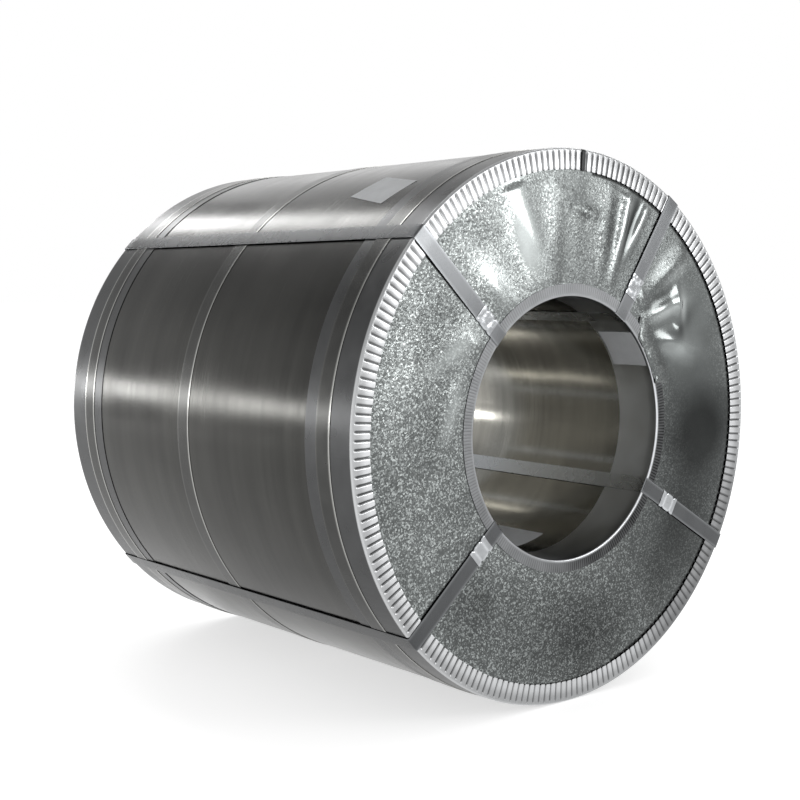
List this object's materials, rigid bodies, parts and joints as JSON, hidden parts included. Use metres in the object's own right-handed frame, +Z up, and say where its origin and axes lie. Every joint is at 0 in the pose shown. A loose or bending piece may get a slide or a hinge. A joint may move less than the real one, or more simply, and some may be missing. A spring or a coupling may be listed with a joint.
{
  "type": "steel coil",
  "caption": "Coil of sheet steel on its side, wrapped in galvanised sheet with fluted edge rings, a lined bore and steel straps around it and through its eye.",
  "frame": {"origin": "centre of the bore, halfway along the coil", "axes": "+Y along the coil's axis, from the end with the strap seals to the other end; +Z up"},
  "size_m": [1.0579, 1.011, 1.058],
  "materials": {
    "wound_strip": "cold-rolled strip, satin",
    "wrap_sheet": "dark rolled sheet, satin with fine lines around the coil",
    "liner_sheet": "dark rolled sheet, glossy",
    "disc_sheet": "galvanised sheet with a fine spangle, dented",
    "edge_ring": "bright galvanised sheet, fluted",
    "bore_ring": "galvanised sheet, dull",
    "strap": "zinc-coated strap, satin",
    "seal": "bright zinc, crimped",
    "label_paper": "blank label, matt"
  },
  "bodies": {
    "root": {"coil": "wound_strip", "outer_wrap": "wrap_sheet", "bore_liner": "liner_sheet", "end_disc_front": "disc_sheet", "end_disc_back": "disc_sheet", "outer_edge_ring_front": "edge_ring", "outer_edge_ring_back": "edge_ring", "inner_edge_ring_front": "bore_ring", "inner_edge_ring_back": "bore_ring", "girth_strap_front": "strap", "girth_strap_middle": "strap", "girth_strap_back": "strap", "girth_seal_front": "seal", "girth_seal_middle": "seal", "girth_seal_back": "seal", "eye_strap_upper_left": "strap", "eye_strap_upper_right": "strap", "eye_strap_lower_right": "strap", "eye_strap_lower_left": "strap", "eye_seal_upper_left": "seal", "eye_seal_upper_right": "seal", "eye_seal_lower_right": "seal", "eye_seal_lower_left": "seal", "outer_label": "label_paper", "bore_label_leg": "label_paper", "bore_label_liner": "label_paper"}
  },
  "joints": []
}
